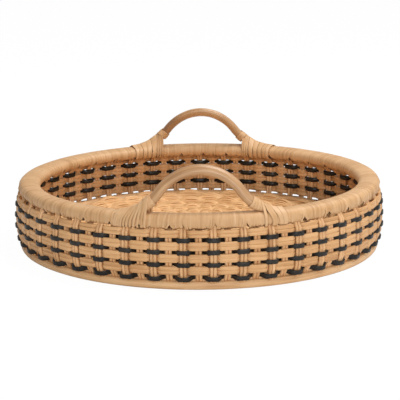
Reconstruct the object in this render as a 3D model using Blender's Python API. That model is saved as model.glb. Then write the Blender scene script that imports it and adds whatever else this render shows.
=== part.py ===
"""Round rattan serving tray: a woven wall on two base hoops, a bound rim and two fixed handles.

Metres, +Z up. The origin is on the surface that the tray stands on, at the centre of its base.
Angles run anticlockwise from +X, and the front handle is at -Y.
"""
import math

import bmesh
import bpy
from mathutils import Vector

# Clearances
GAP = 0.0003
ROW_GAP = 0.0006
SLOT_GAP = 0.0009

# Wall: the stakes, which bulge at the belly and lean in above the rows
BELLY_RADIUS = 0.2410
BELLY_HEIGHT = 0.0340
FOOT_TUCK = 0.0028
UPPER_TUCK = 0.0018
LEAN_HEIGHT = 0.0058
LOWER_LEAN = math.radians(25)
UPPER_LEAN = math.radians(40)
STAKE_TOP_RISE = 0.0053
STAKE_WIDTH = 0.0082
STAKE_THICKNESS = 0.0040
STAKE_PITCH = 0.0180
FIRST_STAKE_ANGLE = math.radians(-94.54)

# Wall: the strands
LOW_ROWS = 3
BLACK_STRAND_HEIGHT = 0.0052
STRAND_THICKNESS = 0.0020
ROW_PITCH = 0.01475
OPEN_GAP = 0.0019
LOW_STRAND_RISE = 0.0028
TOP_PLAIN_STRAND_HEIGHT = 0.0070

# Foot hoop: the band outside the stakes
FOOT_HEIGHT = 0.0100
FOOT_BAND = 0.0044
FOOT_ROUND = 0.0022

# Base hoop: the pole inside the stakes, which carries the floor
BASE_HEIGHT = 0.0185
BASE_WIDTH = 0.0165
BASE_ROUND = 0.0028

# Floor
FLOOR_ROWS = 10
FLOOR_WEAVERS = 2
FLOOR_LENGTHS = 3
FLOOR_TIP_WIDTH = 0.0009
FLOOR_LEVEL = 0.0128
SPOKE_THICKNESS = 0.0030
SPOKE_OUTER_WIDTH = 0.0060
SPOKE_INNER_WIDTH = 0.0024
CENTRE_RADIUS = 0.0600
FLOOR_STRAND_THICKNESS = 0.0016

# Rim: two poles side by side, bound with peel
RIM_SIDES = 8
RIM_TUCK = 0.0051
RIM_POLE_RADIUS = 0.0065
RIM_WRAP_THICKNESS = 0.0015

# Handles: one bent pole each, with flared feet along the rim
FRONT_HANDLE_ANGLE = math.radians(-89.8)
BACK_HANDLE_ANGLE = math.radians(89.3)
HANDLE_POLE_RADIUS = 0.0064
HANDLE_BEND_RADIUS = 0.0605
HANDLE_BEND_ANGLE = math.radians(55.5)
HANDLE_RISE = 0.0502
HANDLE_LEAN = 0.0100
HANDLE_FOOT_TIP_RADIUS = 0.0022
HANDLE_FOOT_LENGTH = 0.0200
HANDLE_STEPS = 9
HANDLE_FOOT_STEPS = 8

# Bindings of the handles' feet
PEEL_WIDTH = 0.0034
PEEL_THICKNESS = 0.0010
COLLAR_TURNS = 3
COLLAR_PITCH = 0.0047
COLLAR_POINTS = 10
COLLAR_START_SHARE = 0.33
LASHING_LOOPS = 3
LASHING_POINTS = 14
LASHING_GAP = 0.0008

# Levels and counts that follow from these
BOTTOM_BLACK_HEIGHT = FOOT_HEIGHT + LOW_STRAND_RISE + BLACK_STRAND_HEIGHT / 2
TOP_BLACK_HEIGHT = BOTTOM_BLACK_HEIGHT + LOW_ROWS * ROW_PITCH + OPEN_GAP
UPPER_HEIGHT = TOP_BLACK_HEIGHT + BLACK_STRAND_HEIGHT / 2
BEND_HEIGHT = UPPER_HEIGHT + LEAN_HEIGHT
STAKE_TOP_HEIGHT = BEND_HEIGHT + STAKE_TOP_RISE
RIM_LEVEL = STAKE_TOP_HEIGHT + STAKE_THICKNESS / 2 * math.sin(UPPER_LEAN) + GAP + RIM_POLE_RADIUS
FOOT_SEAT_RADIUS = BELLY_RADIUS - FOOT_TUCK
UPPER_RADIUS = BELLY_RADIUS - UPPER_TUCK
BEND_RADIUS = UPPER_RADIUS - LEAN_HEIGHT * math.tan(LOWER_LEAN)
STAKE_TOP_RADIUS = BEND_RADIUS - STAKE_TOP_RISE * math.tan(UPPER_LEAN)
RIM_RADIUS = STAKE_TOP_RADIUS - RIM_TUCK
SPOKES = 2 * round(math.pi * BELLY_RADIUS / STAKE_PITCH / 2)
STAKE_PAIRS = 2 * SPOKES

# Colours, as linear red, green and blue
PLAIN_REED = (0.56, 0.33, 0.16)
FLOOR_REED = (0.66, 0.43, 0.21)
BLACK_REED = (0.018, 0.018, 0.020)
PEEL_REED = (0.60, 0.38, 0.20)
POLE_REED = (0.50, 0.30, 0.16)


def clear_scene():
    """Remove every object of the open scene."""
    for old in list(bpy.data.objects):
        bpy.data.objects.remove(old, do_unlink=True)


def material(name, colour, roughness):
    """Make the finish of one kind of reed."""
    made = bpy.data.materials.new(name)
    made.use_nodes = True
    shader = made.node_tree.nodes["Principled BSDF"]
    shader.inputs["Base Color"].default_value = (*colour, 1.0)
    shader.inputs["Roughness"].default_value = roughness
    shader.inputs["Metallic"].default_value = 0.0
    made.diffuse_color = (*colour, 1.0)
    return made


def add_object(name, mesh, finish):
    """Put a mesh in the scene as one named piece."""
    piece = bpy.data.objects.new(name, mesh)
    bpy.context.scene.collection.objects.link(piece)
    if not mesh.materials:
        mesh.materials.append(finish)
    return piece


def object_from_bmesh(name, bm, finish, smooth_angle=None):
    """Turn a bmesh into a named piece, with its faces pointing out."""
    bmesh.ops.recalc_face_normals(bm, faces=bm.faces)
    mesh = bpy.data.meshes.new(name)
    bm.to_mesh(mesh)
    bm.free()
    if smooth_angle is not None:
        mesh.shade_smooth()
        mesh.set_sharp_from_angle(angle=smooth_angle)
    return add_object(name, mesh, finish)


def radial(angle):
    """Unit vector that points away from the tray's axis."""
    return Vector((math.cos(angle), math.sin(angle), 0.0))


def tangential(angle):
    """Unit vector along the rim, anticlockwise."""
    return Vector((-math.sin(angle), math.cos(angle), 0.0))


def at(angle, radius, height):
    """Point at an angle, a radius and a height."""
    point = radial(angle) * radius
    point.z = height
    return point


def loft_loops(bm, loops, closed):
    """Skin a list of point loops, joined end to end when closed and capped when not."""
    rings = [[bm.verts.new(point) for point in loop] for loop in loops]
    count = len(rings[0])
    spans = len(rings) if closed else len(rings) - 1
    for i in range(spans):
        here, ahead = rings[i], rings[(i + 1) % len(rings)]
        for j in range(count):
            k = (j + 1) % count
            bm.faces.new((here[j], ahead[j], ahead[k], here[k]))
    if not closed:
        bm.faces.new(rings[0])
        bm.faces.new(rings[-1])
    return rings


def stake_angle(index):
    """Angle of a stake pair's middle."""
    return FIRST_STAKE_ANGLE + index * math.tau / STAKE_PAIRS


# The wall's line

def wall_line():
    """Radius and height of the stakes' middle, from the foot hoop to under the rim."""
    return [
        (FOOT_SEAT_RADIUS, FOOT_HEIGHT),
        (BELLY_RADIUS, BELLY_HEIGHT),
        (UPPER_RADIUS, UPPER_HEIGHT),
        (BEND_RADIUS, BEND_HEIGHT),
        (STAKE_TOP_RADIUS, STAKE_TOP_HEIGHT),
    ]


def wall_at(height):
    """Point and outward normal of the wall's line at a height, as radius and height."""
    line = wall_line()
    for low, high in zip(line, line[1:]):
        if height <= high[1] or high is line[-1]:
            break
    run, rise = high[0] - low[0], high[1] - low[1]
    share = (height - low[1]) / rise
    length = math.hypot(run, rise)
    return (low[0] + share * run, height), (rise / length, -run / length)


def make_foot_hoop_with_stakes(finish):
    """Foot hoop with the stake pairs let into its top, as one body.

    Each stake is drawn up from its own seat on the hoop, along the wall's line.
    """
    line = wall_line()
    inner = FOOT_SEAT_RADIUS - STAKE_THICKNESS / 2
    seat_outer = FOOT_SEAT_RADIUS + STAKE_THICKNESS / 2
    outer = FOOT_SEAT_RADIUS + FOOT_BAND
    section = [
        (inner, FOOT_HEIGHT),
        (seat_outer, FOOT_HEIGHT),
        (outer, FOOT_HEIGHT - FOOT_ROUND),
        (outer, FOOT_ROUND),
        (outer - FOOT_ROUND, 0.0),
        (inner, 0.0),
    ]
    loops = []
    for i in range(STAKE_PAIRS):
        angle = stake_angle(i)
        for side in (-1, 1):
            offset = tangential(angle) * (side * STAKE_WIDTH / 2)
            loops.append([at(angle, r, z) + offset for r, z in section])
    bm = bmesh.new()
    rings = loft_loops(bm, loops, closed=True)
    bm.faces.ensure_lookup_table()
    seats = []
    for i in range(STAKE_PAIRS):
        corners = {rings[2 * i][0], rings[2 * i][1], rings[2 * i + 1][0], rings[2 * i + 1][1]}
        seats.append(next(f for f in rings[2 * i][0].link_faces if set(f.verts) == corners))
    previous = line[0][0]
    for (radius, height), (_, normal) in zip(line[1:], [wall_at(p[1]) for p in line[1:]]):
        seats = bmesh.ops.extrude_discrete_faces(bm, faces=seats)["faces"]
        for seat in seats:
            middle = seat.calc_center_median()
            angle = math.atan2(middle.y, middle.x)
            out, along = radial(angle), tangential(angle)
            for vert in seat.verts:
                outward = math.copysign(STAKE_THICKNESS / 2, vert.co.dot(out) - previous)
                side = math.copysign(STAKE_WIDTH / 2, vert.co.dot(along))
                vert.co = at(angle, radius + outward * normal[0], height + outward * normal[1]) + along * side
        previous = radius
    return object_from_bmesh("foot_hoop_with_stakes", bm, finish)


def ring_from_section(name, section, stations, finish, smooth_angle=None):
    """Turn a closed section of radius and height points round the tray's axis."""
    bm = bmesh.new()
    loops = [[at(FIRST_STAKE_ANGLE + i * math.tau / stations, r, z) for r, z in section] for i in range(stations)]
    loft_loops(bm, loops, closed=True)
    return object_from_bmesh(name, bm, finish, smooth_angle)


# The strands of the wall

def weave_swing(radius, strand_thickness, post_thickness, post_width, posts):
    """How far a strand swings each side of the line of posts that it passes."""
    pitch = math.tau * radius / posts
    clear = post_thickness / 2 + GAP + strand_thickness / 2
    return clear / (1.0 - post_width / pitch)


def wall_swing(radius):
    """How far the wall's strands swing each side of the stakes' middle line."""
    return weave_swing(radius, STRAND_THICKNESS, STAKE_THICKNESS, STAKE_WIDTH, STAKE_PAIRS)


def make_wall_strand(name, middle_height, strand_height, phase, finish):
    """Strand that passes outside one stake pair and inside the next, all round the wall."""
    (radius, height), (normal_r, normal_z) = wall_at(middle_height)
    swing = wall_swing(radius)
    loops = []
    for i in range(STAKE_PAIRS):
        side = phase if i % 2 == 0 else -phase
        loop = []
        for outward, upward in ((-1, -1), (1, -1), (1, 1), (-1, 1)):
            across = side * swing + outward * STRAND_THICKNESS / 2
            rise = upward * strand_height / 2
            loop.append(at(stake_angle(i), radius + across * normal_r - rise * normal_z,
                           height + across * normal_z + rise * normal_r))
        loops.append(loop)
    bm = bmesh.new()
    loft_loops(bm, loops, closed=True)
    return object_from_bmesh(name, bm, finish, math.radians(50))


def top_strand_middle():
    """Height of the highest strand's middle on the wall."""
    return TOP_BLACK_HEIGHT + BLACK_STRAND_HEIGHT / 2 + ROW_GAP + TOP_PLAIN_STRAND_HEIGHT / 2


def top_strand_edge():
    """Height of the highest strand's outer top edge where it passes outside a stake pair."""
    (radius, height), (normal_r, normal_z) = wall_at(top_strand_middle())
    across = wall_swing(radius) + STRAND_THICKNESS / 2
    return height + across * normal_z + TOP_PLAIN_STRAND_HEIGHT / 2 * normal_r


def make_wall_strands(plain, black):
    """Four black strands and four plain double strands, which fill the rows between them."""
    plain_height = ROW_PITCH - BLACK_STRAND_HEIGHT - 2 * ROW_GAP
    half_black = BLACK_STRAND_HEIGHT / 2
    make_wall_strand("plain_strand_1", top_strand_middle(), TOP_PLAIN_STRAND_HEIGHT, -1, plain)
    for row in range(LOW_ROWS):
        black_middle = TOP_BLACK_HEIGHT - row * ROW_PITCH
        plain_middle = black_middle - half_black - ROW_GAP - plain_height / 2
        make_wall_strand(f"black_strand_{row + 1}", black_middle, BLACK_STRAND_HEIGHT, 1, black)
        make_wall_strand(f"plain_strand_{row + 2}", plain_middle, plain_height, -1, plain)
    make_wall_strand(f"black_strand_{LOW_ROWS + 1}", BOTTOM_BLACK_HEIGHT, BLACK_STRAND_HEIGHT, 1, black)


# The base and the floor

def base_outer_radius():
    """Outer radius of the base hoop, which stands just inside the foot hoop."""
    return FOOT_SEAT_RADIUS - STAKE_THICKNESS / 2 - GAP


def base_inner_radius():
    """Inner radius of the base hoop, where the floor ends."""
    return base_outer_radius() - BASE_WIDTH


def make_base_hoop(finish):
    """Stout pole inside the foot hoop, with a sloping shoulder that clears the lowest strand."""
    outer, inner = base_outer_radius(), base_inner_radius()
    wall_radius = wall_at(BOTTOM_BLACK_HEIGHT)[0][0]
    strand_inner = wall_radius - wall_swing(wall_radius) - STRAND_THICKNESS / 2
    shoulder_height = BOTTOM_BLACK_HEIGHT - BLACK_STRAND_HEIGHT / 2 - 2 * GAP - (outer - strand_inner)
    shoulder = BASE_HEIGHT - shoulder_height
    section = [
        (inner + BASE_ROUND, 0.0),
        (outer - BASE_ROUND, 0.0),
        (outer, BASE_ROUND),
        (outer, shoulder_height),
        (outer - shoulder, BASE_HEIGHT),
        (inner + BASE_ROUND, BASE_HEIGHT),
        (inner, BASE_HEIGHT - BASE_ROUND),
        (inner, BASE_ROUND),
    ]
    return ring_from_section("base_hoop", section, SPOKES, finish, math.radians(60))


def spoke_width(radius):
    """Width of a floor spoke, which tapers towards the centre."""
    share = (radius - CENTRE_RADIUS) / (base_inner_radius() - CENTRE_RADIUS)
    return SPOKE_INNER_WIDTH + share * (SPOKE_OUTER_WIDTH - SPOKE_INNER_WIDTH)


def make_floor_spokes(finish):
    """Spokes of the floor, which cross and are bound into one piece at the centre."""
    end = base_inner_radius() - GAP
    bm = bmesh.new()
    outline = []
    for i in range(SPOKES):
        angle = FIRST_STAKE_ANGLE + i * math.tau / SPOKES
        along = tangential(angle)
        for radius, side in ((CENTRE_RADIUS, -1), (end, -1), (end, 1), (CENTRE_RADIUS, 1)):
            offset = along * (side * spoke_width(radius) / 2)
            outline.append(bm.verts.new(at(angle, radius, FLOOR_LEVEL - SPOKE_THICKNESS / 2) + offset))
    face = bm.faces.new(outline)
    raised = bmesh.ops.extrude_face_region(bm, geom=[face])["geom"]
    lifted = [item for item in raised if isinstance(item, bmesh.types.BMVert)]
    bmesh.ops.translate(bm, verts=lifted, vec=(0.0, 0.0, SPOKE_THICKNESS))
    return object_from_bmesh("floor_spokes", bm, finish)


def floor_spiral():
    """First radius, last radius and width with its gap, of the rows that two weavers lay side by side."""
    first, last = CENTRE_RADIUS + ROW_GAP, base_inner_radius() - GAP
    return first, last, (last - first + ROW_GAP) / FLOOR_ROWS


def make_floor_strands(finish):
    """Two weavers that spiral out together, over one spoke and under the next, each in three lengths.

    A weaver narrows to a tip at the centre and at the base hoop, where the other one carries on beside it.
    """
    first, last, pitch = floor_spiral()
    step = FLOOR_WEAVERS * pitch / SPOKES
    start = math.ceil((FLOOR_TIP_WIDTH + ROW_GAP - pitch) / step)
    end = math.floor((last - FLOOR_TIP_WIDTH - first) / step)
    cuts = [start + (end - start) * i // FLOOR_LENGTHS for i in range(FLOOR_LENGTHS + 1)]
    for weaver in range(FLOOR_WEAVERS):
        for length, (begin, stop) in enumerate(zip(cuts, cuts[1:])):
            loops = []
            for i in range(begin, stop + 1):
                spoke = i + weaver * SPOKES // FLOOR_WEAVERS
                inner = max(first, first + i * step)
                outer = min(last, first + i * step + pitch - ROW_GAP)
                swing = weave_swing(inner, FLOOR_STRAND_THICKNESS, SPOKE_THICKNESS, spoke_width(inner), SPOKES)
                over = swing if (spoke + weaver) % 2 == 0 else -swing
                bottom = FLOOR_LEVEL + over - FLOOR_STRAND_THICKNESS / 2
                top = bottom + FLOOR_STRAND_THICKNESS
                cut = GAP / 2 * ((i == begin) - (i == stop)) / inner
                angle = FIRST_STAKE_ANGLE + spoke * math.tau / SPOKES + cut
                loops.append([at(angle, r, z) for r, z in
                              ((inner, bottom), (outer, bottom), (outer, top), (inner, top))])
            bm = bmesh.new()
            loft_loops(bm, loops, closed=False)
            object_from_bmesh(f"floor_strand_{length * FLOOR_WEAVERS + weaver + 1}", bm, finish, math.radians(50))


# The rim

def rim_pole_offset():
    """How far each rim pole's middle lies from the rim's middle line."""
    return RIM_POLE_RADIUS + GAP / 2


def wrap_radius():
    """Outer radius of the binding round each of the two rim poles."""
    return RIM_POLE_RADIUS + GAP + RIM_WRAP_THICKNESS


def skirt_corner():
    """Lower outer corner of the rim's binding, with room for the lashings over the highest strand."""
    room = PEEL_THICKNESS + 3 * GAP
    return rim_pole_offset() + wrap_radius(), top_strand_edge() + room - RIM_LEVEL


def make_rim_poles(finish):
    """Two round poles, side by side, with the stakes' tops under them."""
    for name, side in (("rim_inner_pole", -1), ("rim_outer_pole", 1)):
        middle = RIM_RADIUS + side * rim_pole_offset()
        turn = math.tau / RIM_SIDES
        section = [(middle + RIM_POLE_RADIUS * math.cos(i * turn), RIM_LEVEL + RIM_POLE_RADIUS * math.sin(i * turn))
                   for i in range(RIM_SIDES)]
        ring_from_section(name, section, SPOKES, finish, math.radians(60))


def rim_arc(middle, radius, first, last):
    """Corners of a rim pole's round section, or of the binding's, from the first side to the last."""
    turn = math.tau / RIM_SIDES
    return [(middle + radius * math.cos(i * turn), radius * math.sin(i * turn)) for i in range(first, last + 1)]


def make_rim_wrap(finish):
    """Peel binding of the rim, drawn down outside to the top strand and open below for the stakes."""
    quarter = RIM_SIDES // 4
    half_slot = STAKE_THICKNESS / 2 / math.cos(UPPER_LEAN) + SLOT_GAP
    slot_inner, slot_outer = RIM_TUCK - half_slot, RIM_TUCK + half_slot
    section = []
    for radius, start in ((wrap_radius(), [skirt_corner()]), (RIM_POLE_RADIUS + GAP, [])):
        first = 0 if start else 1 - quarter
        points = start + rim_arc(rim_pole_offset(), radius, first, quarter)
        points += rim_arc(-rim_pole_offset(), radius, quarter, 3 * quarter)
        points = [slot_corner(points[0], slot_outer, radius), *points, (slot_inner, -radius)]
        section += points if start else points[::-1]
    section = [(RIM_RADIUS + x, RIM_LEVEL + z) for x, z in section]
    return ring_from_section("rim_wrap", section, SPOKES, finish, math.radians(60))


def slot_corner(next_corner, slot_edge, radius):
    """Edge of the wrap's slot, on the chord between the pole's lowest point and the next corner."""
    low = (rim_pole_offset(), -radius)
    share = (slot_edge - low[0]) / (next_corner[0] - low[0])
    return slot_edge, low[1] + share * (next_corner[1] - low[1])


# The handles

def flare_size():
    """Bend radius of a foot's flare and the height of the foot's middle line over the rim's top."""
    bend_drop = HANDLE_BEND_RADIUS * (1.0 - math.cos(HANDLE_BEND_ANGLE))
    rest = HANDLE_POLE_RADIUS + GAP
    return (HANDLE_RISE - bend_drop - rest) / (1.0 - math.cos(HANDLE_BEND_ANGLE)), rest


def handle_reach():
    """Distance along the rim from a handle's middle to the tip of its foot."""
    return (HANDLE_BEND_RADIUS + flare_size()[0]) * math.sin(HANDLE_BEND_ANGLE)


def flare_point(slope):
    """Distance along the rim, height over its top and pole radius, where the foot has a slope."""
    flare, rest = flare_size()
    along = handle_reach() - flare * math.sin(slope)
    height = rest + flare * (1.0 - math.cos(slope))
    taper = max(0.0, along - (handle_reach() - HANDLE_FOOT_LENGTH)) / HANDLE_FOOT_LENGTH
    radius = HANDLE_POLE_RADIUS - taper * (HANDLE_POLE_RADIUS - HANDLE_FOOT_TIP_RADIUS)
    return along, height - (HANDLE_POLE_RADIUS - radius), radius


def flare_slopes():
    """Slopes at the points of a foot's flare, from where it leaves the bend to level."""
    return [HANDLE_BEND_ANGLE * (1.0 - i / HANDLE_FOOT_STEPS) for i in range(HANDLE_FOOT_STEPS + 1)]


def handle_line():
    """Half of a handle's middle line, from its top to the tip of a foot."""
    points = []
    for i in range(HANDLE_STEPS):
        angle = HANDLE_BEND_ANGLE * i / HANDLE_STEPS
        points.append((HANDLE_BEND_RADIUS * math.sin(angle),
                       HANDLE_RISE - HANDLE_BEND_RADIUS * (1.0 - math.cos(angle)), HANDLE_POLE_RADIUS))
    return points + [flare_point(slope) for slope in flare_slopes()]


def rim_top():
    """Height of the bound rim's top."""
    return RIM_LEVEL + wrap_radius()


def rim_middle(angle):
    """Radius of the rim's middle line, which runs straight from one spoke's angle to the next."""
    span = math.tau / SPOKES
    off = (angle - FIRST_STAKE_ANGLE) % span - span / 2
    return RIM_RADIUS * math.cos(span / 2) / math.cos(off)


def handle_lean(height):
    """How far a handle leans towards the tray's axis at a height over the rim's top."""
    return HANDLE_LEAN * height / HANDLE_RISE


def handle_point(middle_angle, along, height):
    """Point of a handle, set over the rim's middle line and leaning inwards as it rises."""
    place = middle_angle + along / RIM_RADIUS
    return at(place, rim_middle(place) - handle_lean(height), rim_top() + height)


def make_handle(name, middle_angle, finish):
    """One bent pole, from foot to foot, as a round tube on a smooth line."""
    half = handle_line()
    whole = [(-along, height, radius) for along, height, radius in half[:0:-1]] + half
    curve = bpy.data.curves.new(name, "CURVE")
    curve.dimensions = "3D"
    curve.bevel_depth = HANDLE_POLE_RADIUS
    curve.bevel_resolution = 2
    curve.use_fill_caps = True
    spline = curve.splines.new("POLY")
    spline.points.add(len(whole) - 1)
    for point, (along, height, radius) in zip(spline.points, whole):
        point.co = (*handle_point(middle_angle, along, height), 1.0)
        point.radius = radius / HANDLE_POLE_RADIUS
    curve.materials.append(finish)
    return add_object(name, curve, finish)


# The bindings of the feet

def make_strip(name, edges, turn_points, finish):
    """Flat strip of peel between two edges, each a list of points with the way out at each."""
    bm = bmesh.new()
    loops = []
    for (near, out), (far, far_out) in zip(*edges):
        loops.append([near, far, far + far_out * PEEL_THICKNESS, near + out * PEEL_THICKNESS])
    loft_loops(bm, loops, closed=False)
    near, far = ([point for point, _ in edge] for edge in edges)
    least = min((a - b).length for i, a in enumerate(far) for b in near[i + turn_points // 2:])
    print(name, "least gap to itself, mm:", round(least * 1000, 2))
    return object_from_bmesh(name, bm, finish, math.radians(50))


def collar_slope(turn, offset):
    """Slope of the foot at a turn of its collar, with an offset along the foot."""
    flare = flare_size()[0]
    return HANDLE_BEND_ANGLE * (1.0 - COLLAR_START_SHARE) - (turn * COLLAR_PITCH + offset) / flare


def make_collar(name, middle_angle, side, finish):
    """Turns of peel round the pole alone, where its foot begins to flare."""
    flare = flare_size()[0]
    step = HANDLE_BEND_ANGLE / HANDLE_FOOT_STEPS
    spare = GAP + flare * (1.0 - math.cos(step / 2))
    out = radial(middle_angle)
    edges = [], []
    for i in range(COLLAR_TURNS * COLLAR_POINTS + 1):
        turn = i / COLLAR_POINTS
        for edge, offset in zip(edges, (-PEEL_WIDTH / 2, PEEL_WIDTH / 2)):
            slope = collar_slope(turn, offset)
            along, height, radius = flare_point(slope)
            middle = handle_point(middle_angle, side * along, height)
            ahead = handle_point(middle_angle, side * (along + PEEL_WIDTH * math.cos(slope)),
                                 height - PEEL_WIDTH * math.sin(slope))
            way = (ahead - middle).normalized()
            across = (out - way * out.dot(way)).normalized()
            outward = across * math.cos(math.tau * turn) + way.cross(across) * math.sin(math.tau * turn)
            edge.append((middle + outward * (radius + spare) / math.cos(math.pi / COLLAR_POINTS), outward))
    return make_strip(name, edges, COLLAR_POINTS, finish)


def foot_surface(along, side):
    """Height over the rim's top of a foot's upper or under side, at a distance along the rim."""
    low = None
    for slope in flare_slopes():
        middle, height, radius = flare_point(slope)
        high = middle + side * radius * math.sin(slope), height + side * radius * math.cos(slope)
        if low is not None and along < high[0]:
            return low[1] + (high[1] - low[1]) * (along - low[0]) / (high[0] - low[0])
        low = high
    return low[1]


def foot_section(along):
    """Height over the rim's top and radius of a foot's upright section, at a distance along the rim."""
    if along > handle_reach() + PEEL_WIDTH:
        return 0.0, 0.0
    top, under = foot_surface(along, 1), foot_surface(along, -1)
    return (top + under) / 2, (top - under) / 2


def lashing_slots(middle_angle, side):
    """Distances along the rim of the loops' passes below it, two in each gap between stakes."""
    pitch = math.tau / STAKE_PAIRS
    slots = []
    for i in range(STAKE_PAIRS):
        gap_angle = (FIRST_STAKE_ANGLE + (i + 0.5) * pitch - middle_angle + math.pi) % math.tau - math.pi
        for edge in (-1, 1):
            slots.append(gap_angle * RIM_RADIUS * side + edge * (PEEL_WIDTH + LASHING_GAP) / 2)
    start = flare_point(collar_slope(COLLAR_TURNS, PEEL_WIDTH / 2))[0] + ROW_GAP
    return sorted(slot for slot in slots if slot > start)[:LASHING_LOOPS + 1]


def bound_point(middle_angle, side, along, angle):
    """Corner of a loop's inner face round the rim and foot, at an angle in their cross-section.

    The corner is where the two straight runs of peel meet that touch the bound sections on either side.
    """
    foot_height, foot_radius = foot_section(along)
    sections = [(-rim_pole_offset(), 0.0, wrap_radius()), (rim_pole_offset(), 0.0, wrap_radius()),
                (-handle_lean(foot_height), wrap_radius() + foot_height, foot_radius), (*skirt_corner(), 0.0)]
    half = math.pi / LASHING_POINTS
    before, after = (max(x * math.cos(turned) + z * math.sin(turned) + radius + GAP
                         for x, z, radius in sections) for turned in (angle - half, angle + half))
    reach = (before + after) / (2 * math.cos(half))
    shift = (after - before) / (2 * math.sin(half))
    x = math.cos(angle) * reach - math.sin(angle) * shift
    z = math.sin(angle) * reach + math.cos(angle) * shift
    place = middle_angle + side * along / RIM_RADIUS
    out = radial(place) * math.cos(angle) + Vector((0.0, 0.0, math.sin(angle)))
    return at(place, rim_middle(place) + x, RIM_LEVEL + z), out


def make_lashing(name, middle_angle, side, finish):
    """Loops of peel round the rim and a handle's foot, passing between the stakes below."""
    slots = lashing_slots(middle_angle, side)
    edges = [], []
    for i in range(LASHING_LOOPS * LASHING_POINTS + 1):
        turn = i / LASHING_POINTS
        loop = min(int(turn), LASHING_LOOPS - 1)
        over = min(1.0, max(0.0, 2 * (turn - loop) - 0.5))
        along = slots[loop] + (slots[loop + 1] - slots[loop]) * over * over * (3 - 2 * over)
        angle = math.tau * (turn - loop) - math.pi / 2
        for edge, offset in zip(edges, (-PEEL_WIDTH / 2, PEEL_WIDTH / 2)):
            edge.append(bound_point(middle_angle, side, along + offset, angle))
    return make_strip(name, edges, LASHING_POINTS, finish)


def make_handles(pole, peel):
    """Both handles, each with a collar and a lashing at each foot."""
    for place, middle_angle in (("front", FRONT_HANDLE_ANGLE), ("back", BACK_HANDLE_ANGLE)):
        make_handle(f"handle_{place}", middle_angle, pole)
        for hand, side in (("left", -1), ("right", 1)):
            turned = side if place == "front" else -side
            make_collar(f"collar_{place}_{hand}", middle_angle, turned, peel)
            make_lashing(f"lashing_{place}_{hand}", middle_angle, turned, peel)


def main():
    """Build the whole tray."""
    clear_scene()
    plain = material("plain_reed", PLAIN_REED, 0.55)
    floor = material("floor_reed", FLOOR_REED, 0.55)
    black = material("black_reed", BLACK_REED, 0.45)
    peel = material("peel", PEEL_REED, 0.50)
    pole = material("pole", POLE_REED, 0.42)
    make_foot_hoop_with_stakes(plain)
    make_base_hoop(pole)
    make_wall_strands(plain, black)
    make_floor_spokes(floor)
    make_floor_strands(floor)
    make_rim_poles(pole)
    make_rim_wrap(peel)
    make_handles(pole, peel)


main()
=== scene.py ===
"""Looks of the round woven tray: every reed, pole and strip of peel, its finishes, and the studio."""
from __future__ import annotations

import logging
import math
import sys
from dataclasses import dataclass, field
from enum import Enum
from functools import partial
from typing import Any, Callable, Iterable, NamedTuple, Sequence

import bpy
import numpy as np
from mathutils import Matrix, Vector


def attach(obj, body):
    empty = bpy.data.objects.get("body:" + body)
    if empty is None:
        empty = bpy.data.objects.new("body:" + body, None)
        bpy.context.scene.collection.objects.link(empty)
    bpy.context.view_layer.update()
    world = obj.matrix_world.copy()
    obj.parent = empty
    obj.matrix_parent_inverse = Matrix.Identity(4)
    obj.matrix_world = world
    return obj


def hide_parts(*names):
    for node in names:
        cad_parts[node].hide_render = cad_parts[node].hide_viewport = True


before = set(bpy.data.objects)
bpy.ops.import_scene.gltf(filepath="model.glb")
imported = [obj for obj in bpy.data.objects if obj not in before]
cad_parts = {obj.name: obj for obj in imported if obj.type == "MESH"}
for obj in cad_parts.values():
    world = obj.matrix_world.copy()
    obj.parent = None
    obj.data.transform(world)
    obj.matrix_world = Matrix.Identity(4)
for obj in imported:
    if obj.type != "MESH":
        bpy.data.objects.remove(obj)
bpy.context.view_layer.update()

LOG = logging.getLogger("tray")
WHITE = (1.0, 1.0, 1.0)
Array = np.ndarray
Disc = tuple[float, float, float]
Colour = tuple[float, float, float]
Point = tuple[float, float, float]


# Shaping


class Profile(Enum):
    """Cross-sections of reeds and peel, as shares of half a width and half a thickness."""

    ROUND = tuple((math.cos(k * math.tau / 10), math.sin(k * math.tau / 10)) for k in range(10))
    POLE = tuple((math.cos(k * math.tau / 20), math.sin(k * math.tau / 20)) for k in range(20))
    OVAL = ((1.0, 0.0), (0.94, 0.72), (0.62, 1.0), (-0.62, 1.0), (-0.94, 0.72), (-1.0, 0.0),
            (-0.94, -0.72), (-0.62, -1.0), (0.62, -1.0), (0.94, -0.72))
    FINE = ((1.0, 0.15), (0.76, 0.82), (0.28, 1.0), (-0.28, 1.0), (-0.76, 0.82), (-1.0, 0.15), (-0.6, -0.9),
            (0.6, -0.9))
    RIBBED = ((1.0, 0.0), (0.96, 0.62), (0.66, 0.95), (0.34, 0.78), (0.0, 1.0), (-0.34, 0.78), (-0.66, 0.95),
              (-0.96, 0.62), (-1.0, 0.0), (-0.66, -0.95), (0.0, -0.9), (0.66, -0.95))
    PEEL = ((1.0, 0.80), (0.72, 1.0), (-0.72, 1.0), (-1.0, 0.80), (0.0, -0.2))


class Spots(NamedTuple):
    """Where a piece's points sit on its reeds.

    Attributes:
        copy: Which reed each point is on.
        along: Share of the way along that reed.
        side: Place across its section, from -1 to 1.
        out: Place outwards in its section, from -1 to 1.
    """

    copy: Array
    along: Array
    side: Array
    out: Array


Place = Callable[[Spots], Array]


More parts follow.
